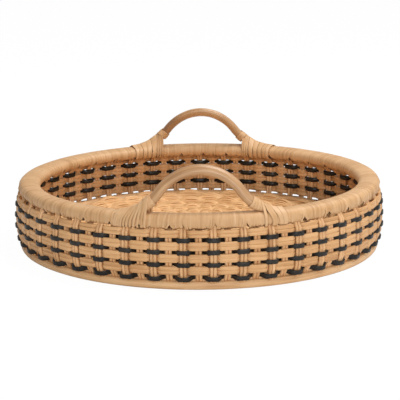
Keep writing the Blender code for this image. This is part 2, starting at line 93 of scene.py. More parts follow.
class Bench:
    """Modelling operators, used as by hand on one piece at a time."""

    STEP = 1.5
    MOST_CUTS = 96
    ARRAY_WELD = 0.001
    SEAM_WELD = 2e-6
    LEVEL = 1e-4
    SLACK = 0.01
    GRAIN_SHIFT = 0.37

    @staticmethod
    def clear() -> None:
        """Leave edit mode and deselect everything."""
        if bpy.context.object is not None and bpy.context.object.mode != "OBJECT":
            bpy.ops.object.mode_set(mode="OBJECT")
        bpy.ops.object.select_all(action="DESELECT")

    @staticmethod
    def pick(piece: bpy.types.Object) -> None:
        """Select one piece and make it active.

        Args:
            piece: What is selected.
        """
        Bench.clear()
        piece.select_set(True)
        bpy.context.view_layer.objects.active = piece

    @staticmethod
    def array(piece: bpy.types.Object, count: int, step: float, merge: bool) -> None:
        """Repeat a piece along its own line and apply it.

        Args:
            piece: What is repeated.
            count: How many there are in all.
            step: Distance from one to the next.
            merge: Whether their ends are joined.
        """
        Bench.pick(piece)
        bpy.ops.object.modifier_add(type="ARRAY")
        modifier = piece.modifiers[-1]
        modifier.count = count
        modifier.use_relative_offset = False
        modifier.use_constant_offset = True
        modifier.constant_offset_displace = (step, 0.0, 0.0)
        modifier.use_merge_vertices = merge
        modifier.merge_threshold = Bench.ARRAY_WELD
        bpy.ops.object.modifier_apply(modifier=modifier.name)

    @staticmethod
    def cut_lengths(piece: bpy.types.Object, number: int) -> None:
        """Cut every edge that runs along a straight piece into equal lengths.

        Args:
            piece: A straight piece, along X.
            number: How many lengths each edge becomes.
        """
        Bench.pick(piece)
        bpy.ops.object.mode_set(mode="EDIT")
        bpy.ops.mesh.select_mode(type="EDGE")
        bpy.ops.mesh.select_all(action="DESELECT")
        bpy.ops.object.mode_set(mode="OBJECT")
        for edge in piece.data.edges:
            start, end = (piece.data.vertices[v].co.x for v in edge.vertices)
            edge.select = abs(start - end) > Bench.LEVEL
        bpy.ops.object.mode_set(mode="EDIT")
        bpy.ops.mesh.subdivide(number_cuts=number - 1)
        bpy.ops.object.mode_set(mode="OBJECT")

    @staticmethod
    def straight_reed(name: str, profile: Profile, cuts: int, copies: int, joined: bool) -> bpy.types.Object:
        """Model a straight reed of unit size and repeat it along its line.

        Args:
            name: Name of the piece.
            profile: Its cross-section, which gives its number of sides.
            cuts: How many lengths it is cut into.
            copies: How many reeds lie end to end.
            joined: Whether they are one reed, open at both ends.

        Returns:
            The straight piece, along X.
        """
        Bench.clear()
        bpy.ops.mesh.primitive_cylinder_add(
            vertices=len(profile.value), radius=1.0, depth=1.0, location=(0.5, 0.0, 0.0),
            rotation=(0.0, math.pi / 2, 0.0), end_fill_type="NOTHING" if joined else "NGON")
        piece = bpy.context.object
        piece.name = name
        piece.data.name = name
        bpy.ops.object.transform_apply(location=True, rotation=True, scale=True)
        parts = math.ceil(cuts / Bench.MOST_CUTS)
        for number in (parts, math.ceil(cuts / parts)):
            if number > 1:
                Bench.cut_lengths(piece, number)
        if copies > 1:
            Bench.array(piece, copies, 1.0 if joined else Bench.STEP, joined)
        return piece

    @staticmethod
    def lay(name: str, profile: Profile, cuts: int, copies: int, joined: bool, place: Place,
            grain: tuple[float, float], tints: Array) -> bpy.types.Object:
        """Model straight reeds and move their points to where the reeds lie, with grain and tints.

        Args:
            name: Name of the piece.
            profile: Its cross-section.
            cuts: How many lengths a reed is cut into.
            copies: How many reeds there are, or repeats of one closed reed.
            joined: Whether it is one reed that closes on itself.
            place: Gives the points their places from their spots.
            grain: Length of one copy and girth of the reed, in metres.
            tints: One number from 0 to 1 for each copy.

        Returns:
            The laid piece.
        """
        piece = Bench.straight_reed(name, profile, cuts, copies, joined)
        mesh = piece.data
        points = np.empty(len(mesh.vertices) * 3)
        mesh.vertices.foreach_get("co", points)
        points = points.reshape(-1, 3)
        shape = np.array(profile.value)
        sides = len(shape)
        turn = np.arctan2(points[:, 2], points[:, 1]) / math.tau * sides
        base = np.round((turn - turn[0]) % sides).astype(int) % sides
        if joined:
            copy = np.zeros(len(points), int)
            along = points[:, 0]
        else:
            copy = np.floor((points[:, 0] + Bench.SLACK) / Bench.STEP).astype(int)
            along = points[:, 0] - copy * Bench.STEP
        loops = np.empty(len(mesh.loops), int)
        mesh.loops.foreach_get("vertex_index", loops)
        starts = np.empty(len(mesh.polygons), int)
        totals = np.empty(len(mesh.polygons), int)
        mesh.polygons.foreach_get("loop_start", starts)
        mesh.polygons.foreach_get("loop_total", totals)
        side = base[loops].astype(float)
        face_of = np.repeat(np.arange(len(starts)), totals)
        highest = np.maximum.reduceat(side, starts)[face_of]
        side[(highest == sides - 1) & (side == 0) & (totals[face_of] == 4)] = sides
        layer = mesh.uv_layers.active or mesh.uv_layers.new()
        layer.name = "grain"
        shift = copy[loops] * Bench.GRAIN_SHIFT
        grain_uv = np.stack([along[loops] * grain[0] + shift, side / sides * grain[1]], axis=-1)
        layer.data.foreach_set("uv", grain_uv.ravel())
        tint = mesh.attributes.new("tint", "FLOAT", "POINT")
        tint.data.foreach_set("value", tints[copy].astype(float))
        placed = place(Spots(copy, along, shape[base, 0], shape[base, 1]))
        mesh.vertices.foreach_set("co", placed.ravel())
        mesh.update()
        Bench.pick(piece)
        bpy.ops.object.mode_set(mode="EDIT")
        bpy.ops.mesh.select_all(action="SELECT")
        if joined:
            bpy.ops.mesh.remove_doubles(threshold=Bench.SEAM_WELD)
        bpy.ops.mesh.normals_make_consistent(inside=False)
        bpy.ops.object.mode_set(mode="OBJECT")
        bpy.ops.object.shade_smooth()
        return piece

    @staticmethod
    def join(name: str, pieces: Sequence[bpy.types.Object]) -> bpy.types.Object:
        """Join pieces into one object with a name.

        Args:
            name: Name of the whole.
            pieces: What is joined.

        Returns:
            The joined piece.
        """
        Bench.clear()
        for piece in pieces:
            piece.select_set(True)
        bpy.context.view_layer.objects.active = pieces[0]
        if len(pieces) > 1:
            bpy.ops.object.join()
        pieces[0].name = name
        pieces[0].data.name = name
        return pieces[0]


def wander(seed: int, share: Array, waves: int = 9, first: int = 1) -> Array:
    """Smooth random drift round a ring, about 1 at its widest.

    Args:
        seed: Which drift.
        share: Share of the way round, from 0 to 1.
        waves: How many sine waves are summed.
        first: The longest wave's count round the ring.

    Returns:
        The drift at each share.
    """
    rng = np.random.default_rng(seed)
    total = np.zeros_like(share, dtype=float)
    for wave in range(first, first + waves):
        total += math.sqrt(1.0 / waves) * rng.uniform(0.5, 1.0) * np.sin(
            math.tau * (wave * share + rng.uniform()))
    return total


def smooth(value: Array, low: float, high: float) -> Array:
    """Smooth step from 0 at low to 1 at high."""
    share = np.clip((value - low) / (high - low), 0.0, 1.0)
    return share * share * (3.0 - 2.0 * share)


# The tray's form


@dataclass(frozen=True)
class TrayForm:
    """Lines that the whole tray follows."""

    pairs: int = 84
    first_angle: float = math.radians(-94.54)
    wall_heights: tuple[float, ...] = (
        0.000, 0.010, 0.022, 0.034, 0.046, 0.056, 0.064, 0.070, 0.075, 0.080, 0.086)
    wall_radii: tuple[float, ...] = (
        0.2370, 0.2380, 0.2403, 0.2416, 0.2414, 0.2410, 0.2404, 0.2396, 0.2392, 0.2394, 0.2396)
    rim_radius: float = 0.2266
    rim_level: float = 0.0832
    sway_x: float = 0.0070
    sway_y: float = -0.0050
    sway_height: float = 0.0850

    def wall(self, height: Array) -> tuple[Array, Array, Array]:
        """Radius and outward direction of the stakes' middle line.

        Args:
            height: Heights above the table.

        Returns:
            The radius, and the outward direction's radial and upward parts.
        """
        radius = np.interp(height, self.wall_heights, self.wall_radii)
        step = 0.003
        run = np.interp(height + step, self.wall_heights, self.wall_radii) - np.interp(
            height - step, self.wall_heights, self.wall_radii)
        length = np.hypot(run, 2 * step)
        return radius, 2 * step / length, -run / length

    def turn(self, angle: Array, radius: Array, height: Array) -> Array:
        """Points at an angle, a radius and a height, with the whole tray's slight lean.

        Args:
            angle: Angle round the tray.
            radius: Distance from the middle.
            height: Height over the table.

        Returns:
            The points.
        """
        x, y = radius * np.cos(angle), radius * np.sin(angle)
        lean = self.sway_x * x + self.sway_y * y
        return np.stack([x, y, height + lean * height / self.sway_height], axis=-1)

    def on_wall(self, angle: Array, height: Array, outward: Array, upward: Array, sideways: Array) -> Array:
        """Points set off from the wall's middle line.

        Args:
            angle: Angle round the tray.
            height: Height on the middle line.
            outward: Distance along the wall's outward direction.
            upward: Distance up along the wall.
            sideways: Distance round the wall.

        Returns:
            The points.
        """
        radius, out_r, out_z = self.wall(height)
        placed = radius + outward * out_r - upward * out_z
        return self.turn(angle + sideways / placed, placed, height + outward * out_z + upward * out_r)

    def stake_angle(self, index: Array) -> Array:
        """Angle of a stake pair's middle, for whole or part counts."""
        return self.first_angle + index * math.tau / self.pairs

    def ring(self, along: Array) -> Array:
        """Angle at a count of repeats of the weave."""
        return self.first_angle + along / self.rounds * math.tau

    @property
    def rounds(self) -> int:
        """How many times the weave repeats round the tray."""
        return self.pairs // 2

    @property
    def pitch(self) -> float:
        """Distance from one stake pair to the next at the belly."""
        return math.tau * max(self.wall_radii) / self.pairs


FORM = TrayForm()


# Finishes


class Sock:
    """A number in a material's nodes, with the arithmetic that adds its nodes."""

    def __init__(self, shader: "Shader", socket: Any) -> None:
        """Wrap one output."""
        self.shader = shader
        self.socket = socket

    def _math(self, operation: str, first: Any, second: Any) -> "Sock":
        """Add one Math node on two values."""
        return self.shader.node("ShaderNodeMath", {"operation": operation}, {0: first, 1: second})[0]

    def __add__(self, other: Any) -> "Sock":
        """Sum."""
        return self._math("ADD", self, other)

    __radd__ = __add__

    def __sub__(self, other: Any) -> "Sock":
        """Difference."""
        return self._math("SUBTRACT", self, other)

    def __rsub__(self, other: Any) -> "Sock":
        """Difference from a value."""
        return self._math("SUBTRACT", other, self)

    def __mul__(self, other: Any) -> "Sock":
        """Product."""
        return self._math("MULTIPLY", self, other)

    __rmul__ = __mul__

    def above(self, low: float, high: float) -> "Sock":
        """Share from 0 at low to 1 at high, held at both ends."""
        values = {0: self, 1: low, 2: high, 3: 0.0, 4: 1.0}
        return self.shader.node("ShaderNodeMapRange", {"clamp": True}, values)[0]


class Shader:
    """Builds the nodes of one material or of the world."""

    REED_SHIFT = 37.0

    def __init__(self, owner: bpy.types.Material | bpy.types.World) -> None:
        """Start with no nodes.

        Args:
            owner: The material or the world.
        """
        owner.use_nodes = True
        self.tree = owner.node_tree
        self.tree.nodes.clear()

    def node(self, kind: str, settings: dict[str, Any] | None = None,
             values: dict[Any, Any] | None = None) -> list[Sock]:
        """Add one node.

        Args:
            kind: Type of the node.
            settings: Settings of the node, set before its sockets.
            values: Values or links by socket name or index.

        Returns:
            Its outputs.
        """
        made = self.tree.nodes.new(kind)
        for key, value in (settings or {}).items():
            if key == "stops":
                ramp = made.color_ramp
                while len(ramp.elements) < len(value):
                    ramp.elements.new(1.0)
                for element, (position, colour) in zip(ramp.elements, value):
                    element.position = position
                    element.color = (*colour, 1.0)
            else:
                setattr(made, key, value)
        for key, value in (values or {}).items():
            target = made.inputs[key]
            if isinstance(value, Sock):
                self.tree.links.new(value.socket, target)
            elif isinstance(value, tuple) and len(value) == 3 and target.type == "RGBA":
                target.default_value = (*value, 1.0)
            else:
                target.default_value = value
        return [Sock(self, output) for output in made.outputs]

    def mix(self, share: Any, first: Any, second: Any, blend: str = "MIX") -> Sock:
        """Mix two colours."""
        settings = {"data_type": "RGBA", "blend_type": blend}
        return self.node("ShaderNodeMix", settings, {0: share, 6: first, 7: second})[2]

    def noise(self, vector: Sock, scale: float, detail: float = 2.0, roughness: float = 0.5) -> Sock:
        """Smooth noise from 0 to 1."""
        return self.node("ShaderNodeTexNoise", {}, {
            "Vector": vector, "Scale": scale, "Detail": detail, "Roughness": roughness})[0]

    def stretched(self, along: float, across: float) -> Sock:
        """The piece's grain map, stretched, with each reed's own share as the third value.

        Args:
            along: Scale along the reed.
            across: Scale round it.

        Returns:
            The stretched map.
        """
        uv = self.node("ShaderNodeUVMap", {"uv_map": "grain"})[0]
        parts = self.node("ShaderNodeSeparateXYZ", {}, {0: uv})
        return self.node("ShaderNodeCombineXYZ", {}, {
            0: parts[0] * along, 1: parts[1] * across, 2: self.tint() * self.REED_SHIFT})[0]

    def tint(self) -> Sock:
        """Each reed's own share from 0 to 1."""
        return self.node("ShaderNodeAttribute", {"attribute_name": "tint"})[2]

    def surface(self, values: dict[str, Any]) -> None:
        """Finish the material with one principled surface."""
        shader = self.node("ShaderNodeBsdfPrincipled", {}, values)[0]
        self.node("ShaderNodeOutputMaterial", {}, {"Surface": shader})


@dataclass(frozen=True)
class ReedFinish:
    """Natural or dyed reed: its colours, its grain along the reed and its gloss."""

    name: str
    slot: str
    light: Colour
    middle: Colour
    dark: Colour
    grain_along: float = 26.0
    grain_across: float = 900.0
    grain_depth: float = 0.35
    streak_depth: float = 0.30
    tint_depth: float = 0.45
    patch_depth: float = 0.20
    patch_scale: float = 22.0
    fleck: float = 0.25
    rough: float = 0.52
    rough_spread: float = 0.18
    bump: float = 0.00022
    specular: float = 0.45

    def make(self) -> bpy.types.Material:
        """Build the material.

        Returns:
            The material.
        """
        material = bpy.data.materials.new(self.name)
        shader = Shader(material)
        fibres = shader.noise(shader.stretched(self.grain_along, self.grain_across), 1.0, 3.0, 0.62)
        streaks = shader.noise(shader.stretched(self.grain_along * 0.3, self.grain_across * 0.22), 1.0, 2.0)
        place = shader.node("ShaderNodeTexCoord")[3]
        patches = shader.noise(place, self.patch_scale, 2.0)
        tint = shader.tint()
        tone = (fibres.above(0.30, 0.70) * self.grain_depth + streaks.above(0.32, 0.68) * self.streak_depth
                + tint * self.tint_depth + patches.above(0.35, 0.65) * self.patch_depth)
        total = self.grain_depth + self.streak_depth + self.tint_depth + self.patch_depth
        ramp = shader.node("ShaderNodeValToRGB", {"stops": (
            (0.18, self.dark), (0.50, self.middle), (0.86, self.light))}, {0: tone * (1.0 / total)})[0]
        flecks = shader.noise(shader.stretched(self.grain_along * 3.0, self.grain_across * 0.5), 1.0, 2.0)
        coloured = shader.mix(flecks.above(0.66, 0.76) * self.fleck, ramp, self.dark)
        height = shader.node("ShaderNodeBump", {}, {
            "Strength": 0.8, "Distance": self.bump, "Height": fibres + streaks * 0.6})[0]
        rough = fibres * self.rough_spread + (self.rough - self.rough_spread / 2)
        shader.surface({
            "Base Color": coloured, "Roughness": rough,
            "Normal": height, "Specular IOR Level": self.specular})
        return material


class Finishes:
    """The tray's finishes, made once each."""

    WALL = ReedFinish("wall_reed", "plain_reed", (0.80, 0.48, 0.235),
                      (0.66, 0.365, 0.155), (0.46, 0.22, 0.080))
    STAKE = ReedFinish("stake_reed", "plain_reed", (0.82, 0.51, 0.27),
                       (0.69, 0.395, 0.180), (0.46, 0.22, 0.085))
    FLOOR = ReedFinish("floor_reed", "floor_reed", (0.85, 0.54, 0.268),
                       (0.75, 0.440, 0.196), (0.57, 0.305, 0.118),
                       grain_depth=0.12, fleck=0.03)
    BLACK = ReedFinish("black_reed", "black_reed", (0.040, 0.034, 0.027), (0.012, 0.010, 0.008),
                       (0.004, 0.004, 0.003), rough=0.38, specular=0.34, fleck=0.0, bump=0.0004)
    PEEL = ReedFinish("peel_turns", "peel", (0.70, 0.445, 0.242), (0.61, 0.358, 0.167), (0.47, 0.248, 0.102),
                      grain_across=700.0, tint_depth=0.55, rough=0.50)
    POLE = ReedFinish("bare_pole", "pole", (0.61, 0.37, 0.185), (0.455, 0.250, 0.114), (0.28, 0.136, 0.058),
                      grain_along=14.0, grain_across=420.0, rough=0.34, tint_depth=0.1, specular=0.5)
    HOOP = ReedFinish("hoop_pole", "plain_reed", (0.82, 0.53, 0.285),
                      (0.74, 0.44, 0.210), (0.54, 0.28, 0.120),
                      grain_along=12.0, grain_across=500.0, rough=0.48, tint_depth=0.1)
    CORE = ReedFinish("core_pole", "pole", (0.40, 0.22, 0.10), (0.28, 0.14, 0.06), (0.16, 0.07, 0.03),
                      rough=0.60, tint_depth=0.1)

    def __init__(self) -> None:
        """Start with no finish made."""
        self.made: dict[str, bpy.types.Material] = {}

    def dress(self, piece: bpy.types.Object, finish: ReedFinish, *nodes: str) -> None:
        """Give a finished piece its material, its body and the nodes that it stands for.

        Args:
            piece: The finished piece.
            finish: Its finish.
            nodes: Names of the solids that it replaces.
        """
        if finish.name not in self.made:
            self.made[finish.name] = finish.make()
        piece.data.materials.clear()
        piece.data.materials.append(self.made[finish.name])
        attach(piece, "root")
        if nodes:
            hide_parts(*nodes)
        LOG.info("%s: %d faces, %s", piece.name, len(piece.data.polygons), finish.name)


# The wall


class Phase(Enum):
    """Which stake pairs a strand passes outside."""

    OUTSIDE_EVEN = 1.0
    OUTSIDE_ODD = -1.0


@dataclass
class WallStrand:
    """One strand of the wall, of one or two reeds, woven round the stake pairs."""

    name: str
    node: str
    levels: tuple[float, ...]
    phase: Phase
    height: float
    thickness: float
    swing: float
    finish: ReedFinish
    profile: Profile
    row_level: float = 0.0
    swell: float = 0.0
    cuts: int = 18
    squareness: float = 2.0
    bias: float = 0.0
    seed: int = 1
    swell_fade: tuple[float, float] = (0.40, 0.90)
    level_drift: float = 0.00022
    height_drift: float = 0.03
    swing_drift: float = 0.05

    def bend(self, count: Array) -> Array:
        """How far the strand lies outside the stakes' middle, at a count of stake pairs."""
        wave = np.cos(math.pi * count) - self.bias
        return self.phase.value * self.swing * np.tanh(self.squareness * wave) / math.tanh(self.squareness)

    def place_reed(self, level: float, seed: int, spots: Spots) -> Array:
        """Place the points of one of its reeds.

        Args:
            level: Height of the reed's middle on the wall.
            seed: Which drift it has.
            spots: Where its points sit.

        Returns:
            The points.
        """
        _, along, up, out = spots
        count = along * 2.0
        share = along / FORM.rounds
        small = 0.02
        slope = (self.bend(count + small) - self.bend(count - small)) / (2 * small * FORM.pitch)
        lean = np.arctan(slope)
        thick = out * self.thickness / 2
        drift = wander(seed, share, 40, 6)
        away = self.phase.value * np.cos(math.pi * count)
        spread = 1.0 + self.swell * (1.0 - smooth(away, *self.swell_fade))
        half = self.height / 2 * (spread + self.height_drift * wander(seed + 50, share, 30, 20))
        middle = self.row_level + (level - self.row_level) * spread + self.level_drift * drift
        swing = 1.0 + self.swing_drift * wander(seed + 90, share, 30, 15)
        outward = self.bend(count) * swing + thick * np.cos(lean)
        return FORM.on_wall(FORM.stake_angle(count), middle, outward, up * half, -thick * np.sin(lean))

    def build(self, finishes: Finishes) -> None:
        """Model and dress the strand.

        Args:
            finishes: The finishes.
        """
        girth = 2.0 * (self.height + self.thickness)
        reeds = []
        for index, level in enumerate(self.levels):
            seed = self.seed * 7 + index * 3
            tint = np.random.default_rng(seed).uniform(0.2, 0.8, 1)
            reeds.append(Bench.lay(f"{self.name}_{index}", self.profile, self.cuts, FORM.rounds, True,
                                   partial(self.place_reed, level, seed), (2 * FORM.pitch, girth), tint))
        finishes.dress(Bench.join(self.name, reeds), self.finish, self.node)


@dataclass
class Wall:
    """The stakes, the foot hoop that they stand in, and the strands."""

    reed_width: float = 0.00425
    reed_thickness: float = 0.0045
    pair_half: float = 0.00212
    stake_foot: float = 0.0070
    outer_top: float = 0.0850
    inner_top: float = 0.0748
    top_thickness_share: float = 0.45
    give: float = 0.0006
    stagger: float = 0.0019
    foot_give: float = 0.0022
    foot_fade: float = 0.020
    top_back: float = 1.8
    top_fade: tuple[float, float] = (0.066, 0.078)
    skive_fade: tuple[float, float] = (0.073, 0.082)
    inner_lean: float = 0.0042
    skew: float = 0.00035
    shift: float = 0.00025
    plain_height: float = 0.0055
    top_plain_height: float = 0.0047
    plain_thickness: float = 0.0030
    plain_swing: float = 0.0021
    plain_squareness: float = 4.0
    plain_bias: float = 0.50
    black_height: float = 0.0055
    black_thickness: float = 0.0024
    black_swing: float = 0.0049
    black_squareness: float = 2.1
    black_bias: float = 0.10
    black_swell: float = 0.20
    black_levels: tuple[float, ...] = (0.06155, 0.04690, 0.03230, 0.01465)
    plain_levels: tuple[tuple[float, float], ...] = (
        (0.0710, 0.0665), (0.0567, 0.0517), (0.0421, 0.0371), (0.0274, 0.0224))
    foot_radius: float = 0.2368
    foot_half_width: float = 0.0038
    foot_half_height: float = 0.0050
    foot_fullness: float = 0.94
    foot_drift: float = 0.0002

    def strands(self) -> Iterable[WallStrand]:
        """The eight strands, from the top.

        Returns:
            The strands.
        """
        for row, levels in enumerate(self.plain_levels):
            yield WallStrand(f"plain_reeds_{row + 1}", f"plain_strand_{row + 1}", levels, Phase.OUTSIDE_ODD,
                             self.top_plain_height if row == 0 else self.plain_height, self.plain_thickness,
                             self.plain_swing, Finishes.WALL, Profile.OVAL, sum(levels) / len(levels),
                             squareness=self.plain_squareness, bias=self.plain_bias, seed=10 + row)
        for row, level in enumerate(self.black_levels):
            yield WallStrand(f"black_reed_{row + 1}", f"black_strand_{row + 1}", (level,),
                             Phase.OUTSIDE_EVEN, self.black_height, self.black_thickness,
                             self.black_swing, Finishes.BLACK, Profile.RIBBED, level, self.black_swell,
                             squareness=self.black_squareness, bias=self.black_bias, seed=30 + row)

    def place_stakes(self, spots: Spots) -> Array:
        """Place the points of the stake reeds, two in each pair.

        Args:
            spots: Where the points sit.

        Returns:
            The points.
        """
        copy, along, side, out = spots
        rng = np.random.default_rng(5)
        pair, which = copy // 2, copy % 2
        outer = pair % 2 == 0
        sign = np.where(outer, 1.0, -1.0)
        top = np.where(outer, self.outer_top, self.inner_top)
        height = self.stake_foot + (top - self.stake_foot) * along
        skew = rng.normal(0.0, self.skew, FORM.pairs)[pair] * (along - 0.5) * 2
        shift = rng.normal(0.0, self.shift, FORM.pairs)[pair]
        upper, lower = self.black_levels[:2]
        rows = np.cos(math.tau * (height - lower) / (upper - lower))
        stagger = self.stagger * (1.0 - np.where(outer, self.top_back * smooth(height, *self.top_fade), 0.0))
        stagger -= sign * self.foot_give * (1.0 - smooth(height, self.stake_foot, self.foot_fade))
        push = sign * (stagger - self.give * rows)
        thinned = np.where(outer, smooth(height, *self.skive_fade), 0.0)
        skive = 1.0 - (1.0 - self.top_thickness_share) * thinned
        lean = np.where(outer, 0.0, -self.inner_lean * smooth(height, self.top_fade[0], self.inner_top))
        outward = push + lean + out * self.reed_thickness / 2 * skive
        sideways = (which * 2 - 1) * self.pair_half + side * self.reed_width / 2 + skew + shift
        return FORM.on_wall(FORM.stake_angle(pair), height, outward, np.zeros_like(height), sideways)

    def place_foot(self, spots: Spots) -> Array:
        """Place the points of the foot hoop, a flattened round pole.

        Args:
            spots: Where the points sit.

        Returns:
            The points.
        """
        _, along, side, out = spots
        wide, tall = (np.sign(part) * np.abs(part) ** self.foot_fullness for part in (side, out))
        drift = self.foot_drift * wander(3, along / FORM.rounds, 12, 2)
        radius = self.foot_radius + drift + wide * self.foot_half_width
        height = self.foot_half_height + tall * self.foot_half_height
        return FORM.turn(FORM.ring(along), radius, np.maximum(0.0, height))

    def build(self, finishes: Finishes) -> None:
        """Model and dress the stakes, the foot hoop and the strands.

        Args:
            finishes: The finishes.
        """
        tints = np.random.default_rng(9).uniform(0.0, 1.0, FORM.pairs * 2)
        stakes = Bench.lay("stake_reeds", Profile.ROUND, 14, FORM.pairs * 2, False, self.place_stakes,
                           (0.08, 0.0135), tints)
        finishes.dress(stakes, Finishes.STAKE)
        foot = Bench.lay("foot_hoop", Profile.POLE, 6, FORM.rounds, True, self.place_foot,
                         (2 * FORM.pitch, 0.027), np.array([0.6]))
        finishes.dress(foot, Finishes.HOOP, "foot_hoop_with_stakes")
        for strand in self.strands():
            strand.build(finishes)


# The base and the floor


@dataclass
class Base:
    """The base hoop, the spokes and the woven rows of the floor."""

    hoop_radius: float = 0.2266
    hoop_half_width: float = 0.0081
    hoop_half_height: float = 0.0102
    floor_level: float = 0.0130
    floor_swing: float = 0.0043
    edge_share: float = -0.15
    edge_lift: float = 0.0060
    lift_start: float = 0.150
    reed_thickness: float = 0.0030
    row_reeds: int = 6
    rows: int = 10
    weavers: int = 2
    lengths: int = 3
    first_radius: float = 0.0606
    last_radius: float = 0.2191
    start_margin: float = 0.0015
    end_margin: float = 0.0009
    reed_half_share: float = 0.64
    squareness: float = 1.1
    swing_drift: float = 0.16
    reed_drift: float = 0.0002
    hub_reed: float = 0.0027
    hub_half_share: float = 0.53
    hub_lift_share: float = 0.75
    spoke_inner: float = 0.0060
    spoke_outer: float = 0.2120
    spoke_width: float = 0.0056
    spoke_thickness: float = 0.0008
    spoke_drop: float = 0.0030
    spoke_drop_run: float = 0.012
    spoke_taper: float = 0.055
    cuts: int = 8

    @property
    def spokes(self) -> int:
        """How many spokes the floor has."""
        return FORM.rounds

    @property
    def pitch(self) -> float:
        """Width of one row."""
        return (self.last_radius - self.first_radius) / self.rows

    @property
    def step(self) -> float:
        """How far a weaver moves outwards from one spoke to the next."""
        return self.weavers * self.pitch / self.spokes

    def level(self, radius: Array) -> Array:
        """Height of the floor, which rises towards its edge."""
        return self.floor_level + self.edge_lift * smooth(radius, self.lift_start, self.last_radius)

    def place_hoop(self, spots: Spots) -> Array:
        """Place the points of the base hoop.

        Args:
            spots: Where the points sit.

        Returns:
            The points.
        """
        _, along, side, out = spots
        return FORM.turn(FORM.ring(along), self.hoop_radius + side * self.hoop_half_width,
                         self.hoop_half_height * (1.0 + out))

    def place_spokes(self, spots: Spots) -> Array:
        """Place the points of the spokes, which narrow towards the centre.

        Args:
            spots: Where the points sit.

        Returns:
            The points.
        """
        copy, along, side, out = spots
        radius = self.spoke_inner + (self.spoke_outer - self.spoke_inner) * along
        half = np.minimum(self.spoke_width / 2, radius * self.spoke_taper)
        angle = FORM.stake_angle(copy * 2) + side * half / radius
        drop = self.spoke_drop * smooth(radius, self.first_radius - self.spoke_drop_run, self.first_radius)
        return FORM.turn(angle, radius, self.level(radius) - drop + out * self.spoke_thickness / 2)

    def place_reed(self, weaver: int, reed: int, start: float, count: float, seed: int,
                   spots: Spots) -> Array:
        """Place the points of one fine reed of a weaver, which spirals outwards.

        Args:
            weaver: Which of the two weavers it belongs to.
            reed: Its place in the row, from the inside.
            start: Count of spokes at which it begins.
            count: Over how many spokes it runs.
            seed: Which drift it has.
            spots: Where its points sit.

        Returns:
            The points.
        """
        _, along, side, out = spots
        width = self.pitch / self.row_reeds
        across = (2.0 * reed + 1.0) / self.row_reeds - 1.0
        fullness = 1.0 - (1.0 - self.edge_share) * across * across
        spoke = start + along * count
        share = spoke / self.spokes / self.rows
        wave = np.cos(math.pi * spoke)
        swing = self.floor_swing * fullness * (1.0 + self.swing_drift * wander(seed, share, 30, 20))
        lift = swing * np.tanh(self.squareness * wave) / math.tanh(self.squareness)
        middle = self.first_radius + spoke * self.step + (reed + 0.5) * width
        drift = self.reed_drift * wander(seed + 5, share, 16, 4)
        radial = middle + drift + side * width * self.reed_half_share
        height = self.level(middle) + lift + out * self.reed_thickness / 2
        angle = FORM.stake_angle(2.0 * (spoke + weaver * self.spokes / self.weavers))
        return FORM.turn(angle, radial, height)

    def place_hub(self, spots: Spots) -> Array:
        """Place the points of the reed coiled over the crossed spokes.

        Args:
            spots: Where the points sit.

        Returns:
            The points.
        """
        _, along, side, out = spots
        radius = self.hub_reed / 2 + (self.first_radius - self.hub_reed) * along
        turns = self.first_radius / self.hub_reed
        height = self.floor_level + self.reed_thickness * self.hub_lift_share + out * self.reed_thickness / 2
        radius = radius + side * self.hub_reed * self.hub_half_share
        return FORM.turn(along * turns * math.tau, radius, height)

    def build_weaver(self, finishes: Finishes, weaver: int, length: int) -> None:
        """Model and dress one length of one weaver, of six fine reeds.

        Args:
            finishes: The finishes.
            weaver: Which weaver.
            length: Which of its lengths, from the inside.
        """
        width = self.pitch / self.row_reeds
        first = math.ceil((self.start_margin - self.pitch) / self.step)
        last = math.floor((self.last_radius - self.end_margin - self.first_radius) / self.step)
        begin, end = (first + (last - first) * part // self.lengths for part in (length, length + 1))
        reeds = []
        number = length * self.weavers + weaver + 1
        rng = np.random.default_rng(60 + number)
        for reed in range(self.row_reeds):
            start = max(begin, -reed * width / self.step)
            stop = min(end, (self.last_radius - self.first_radius - (reed + 1) * width) / self.step)
            count = stop - start
            radius = self.first_radius + (start + stop) / 2 * self.step
            run = math.tau * radius * count / self.spokes
            place = partial(self.place_reed, weaver, reed, start, count, 300 + number * 9 + reed)
            reeds.append(Bench.lay(f"floor_reed_{number}_{reed}", Profile.FINE, round(count * self.cuts), 1,
                                   False, place, (run, 0.0075), rng.uniform(0.05, 0.95, 1)))
        finishes.dress(Bench.join(f"floor_weaver_{number}", reeds), Finishes.FLOOR, f"floor_strand_{number}")

    def build(self, finishes: Finishes) -> None:
        """Model and dress the hoop, the spokes and the floor's rows.

        Args:
            finishes: The finishes.
        """
        hoop = Bench.lay("base_pole", Profile.POLE, 4, FORM.rounds, True, self.place_hoop,
                         (2 * FORM.pitch, 0.055), np.array([0.3]))
        finishes.dress(hoop, Finishes.HOOP, "base_hoop")
        tints = np.random.default_rng(12).uniform(0.0, 1.0, self.spokes)
        spokes = Bench.lay("spoke_reeds", Profile.OVAL, 6, self.spokes, False, self.place_spokes,
                           (0.21, 0.014), tints)
        hub = Bench.lay("hub_reed", Profile.FINE, 900, 1, False, self.place_hub, (4.2, 0.0075),
                        np.array([0.6]))
        finishes.dress(Bench.join("spoke_reeds", [spokes, hub]), Finishes.FLOOR, "floor_spokes")
        for weaver in range(self.weavers):
            for length in range(self.lengths):
                self.build_weaver(finishes, weaver, length)


# The rim


HULL_AIMS = 181


